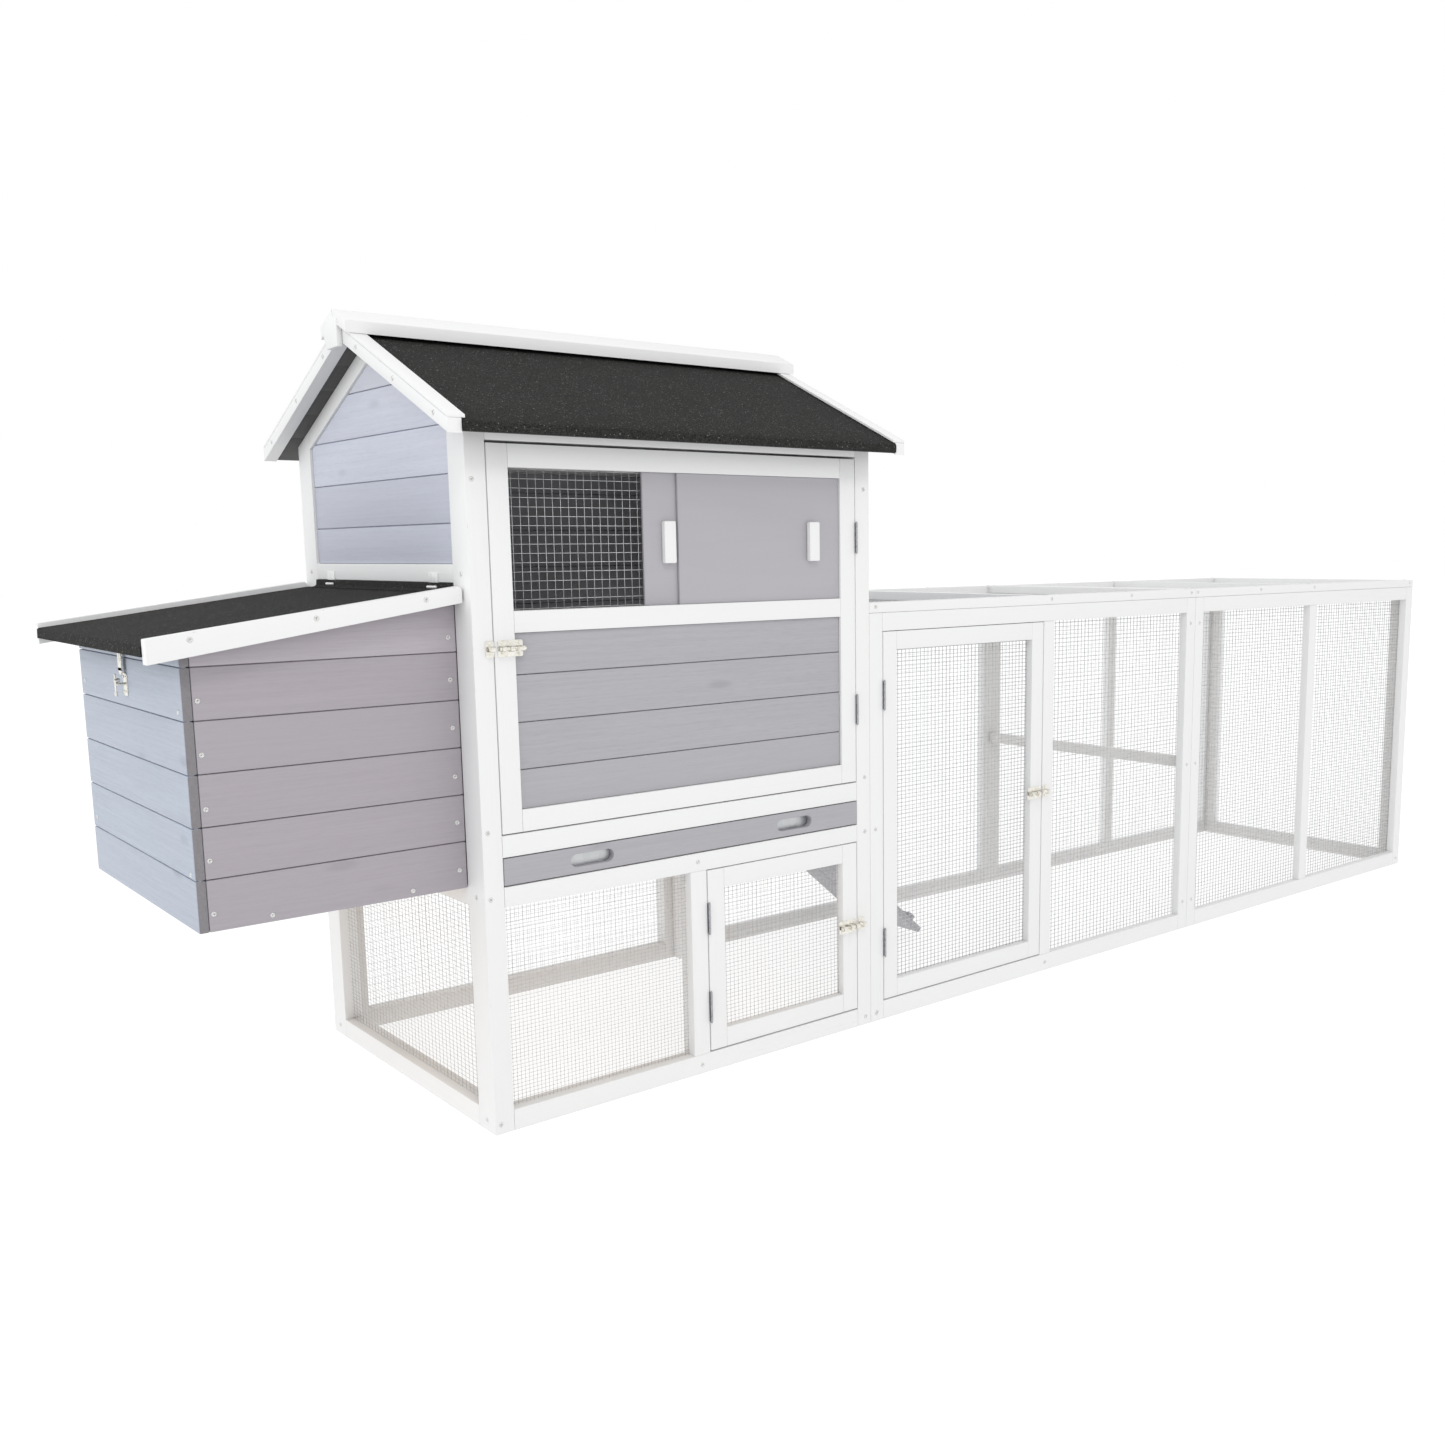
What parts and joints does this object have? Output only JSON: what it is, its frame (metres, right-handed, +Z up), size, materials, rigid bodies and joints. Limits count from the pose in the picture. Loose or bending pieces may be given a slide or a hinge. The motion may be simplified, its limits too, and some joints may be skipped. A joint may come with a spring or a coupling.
{
  "type": "chicken coop",
  "caption": "Timber hen house with a gabled felt roof, a lidded nest box, a pull-out tray, a mesh pen below and a long flat-topped mesh run with doors and a ramp.",
  "frame": {"origin": "middle of the whole coop's footprint, on the ground", "axes": "+X from the nest box to the end of the run, +Y from the door side to the back, +Z up"},
  "size_m": [2.978, 0.679, 1.1684],
  "materials": {
    "white_paint": "satin white paint on fir battens",
    "grey_stain": "thin grey stain that shows the grain",
    "black_felt": "mineral-faced bitumen felt",
    "galvanised": "galvanised wire and sheet",
    "nickel": "bright nickel plate"
  },
  "bodies": {
    "coop": {"left_side_frame": "white_paint", "right_side_frame": "white_paint", "back_frame": "white_paint", "door_header_rail": "white_paint", "door_sill_rail": "white_paint", "pen_front_frame": "white_paint", "pen_front_mesh": "galvanised", "pen_left_mesh": "galvanised", "pen_back_mesh": "galvanised", "left_gable_boards": "grey_stain", "right_wall_boards": "grey_stain", "back_wall_boards": "grey_stain", "house_floor": "grey_stain", "roof_front_board": "white_paint", "roof_back_board": "white_paint", "roof_felt": "black_felt", "ridge_cap_front": "white_paint", "ridge_cap_back": "white_paint", "left_front_bargeboard": "white_paint", "left_back_bargeboard": "white_paint", "right_front_bargeboard": "white_paint", "right_back_bargeboard": "white_paint", "nest_front_side": "grey_stain", "nest_back_side": "grey_stain", "nest_end": "grey_stain", "nest_floor": "grey_stain", "run_front_frame_a": "white_paint", "run_front_frame_b": "white_paint", "run_back_frame_a": "white_paint", "run_back_frame_b": "white_paint", "run_end_frame": "white_paint", "run_roof_frame_a": "white_paint", "run_roof_frame_b": "white_paint", "run_front_mesh": "galvanised", "run_back_mesh": "galvanised", "run_end_mesh": "galvanised", "run_roof_mesh": "galvanised", "run_perch": "white_paint"},
    "upper_door": {"upper_door_frame": "white_paint", "upper_door_mesh": "galvanised", "upper_door_boards": "grey_stain"},
    "inner_window": {"inner_window_panel": "grey_stain", "inner_panel_handle": "white_paint"},
    "outer_window": {"outer_window_panel": "grey_stain", "outer_panel_handle": "white_paint"},
    "upper_bolt": {"upper_door_bolt": "nickel"},
    "lower_door": {"lower_door_frame": "white_paint", "lower_door_mesh": "galvanised"},
    "lower_bolt": {"lower_door_bolt": "nickel"},
    "run_door": {"run_door_frame": "white_paint", "run_door_mesh": "galvanised"},
    "run_bolt": {"run_door_bolt": "nickel"},
    "tray": {"tray_front": "grey_stain", "tray_pan": "galvanised"},
    "nest_lid": {"lid_board": "white_paint", "lid_felt": "black_felt", "lid_front_batten": "white_paint", "lid_back_batten": "white_paint"},
    "hasp": {"hasp_strap": "nickel"},
    "ramp": {"ramp": "grey_stain"}
  },
  "joints": [
    {"name": "upper_door_hinge", "type": "hinge", "parent": "coop", "child": "upper_door", "pos_m": [-0.394, -0.3005, 0.7], "axis": [0, 0, 1], "range_deg": [0, 90]},
    {"name": "inner_window_slide", "type": "slide", "parent": "upper_door", "child": "inner_window", "axis": [-1, 0, 0], "range_m": [0, 0.218]},
    {"name": "outer_window_slide", "type": "slide", "parent": "upper_door", "child": "outer_window", "axis": [-1, 0, 0], "range_m": [0, 0.004]},
    {"name": "upper_bolt_slide", "type": "slide", "parent": "upper_door", "child": "upper_bolt", "axis": [-1, 0, 0], "range_m": [0, 0.014]},
    {"name": "lower_door_hinge", "type": "hinge", "parent": "coop", "child": "lower_door", "pos_m": [-0.7065, -0.3005, 0.18], "axis": [0, 0, -1], "range_deg": [0, 105]},
    {"name": "lower_bolt_slide", "type": "slide", "parent": "lower_door", "child": "lower_bolt", "axis": [1, 0, 0], "range_m": [0, 0.014]},
    {"name": "run_door_hinge", "type": "hinge", "parent": "coop", "child": "run_door", "pos_m": [-0.332, -0.3005, 0.36], "axis": [0, 0, -1], "range_deg": [0, 90]},
    {"name": "run_bolt_slide", "type": "slide", "parent": "run_door", "child": "run_bolt", "axis": [1, 0, 0], "range_m": [0, 0.014]},
    {"name": "tray_slide", "type": "slide", "parent": "coop", "child": "tray", "axis": [0, -1, 0], "range_m": [0, 0.45]},
    {"name": "nest_lid_hinge", "type": "hinge", "parent": "coop", "child": "nest_lid", "pos_m": [-1.087, 0, 0.772], "axis": [0, 1, 0], "range_deg": [0, 75]},
    {"name": "hasp_hinge", "type": "hinge", "parent": "nest_lid", "child": "hasp", "pos_m": [-1.4505, 0, 0.699], "axis": [0, 1, 0], "range_deg": [0, 80]},
    {"name": "ramp_hinge", "type": "hinge", "parent": "coop", "child": "ramp", "pos_m": [-0.3575, 0.1425, 0.3919], "axis": [0, -1, 0], "range_deg": [0, 38]}
  ]
}
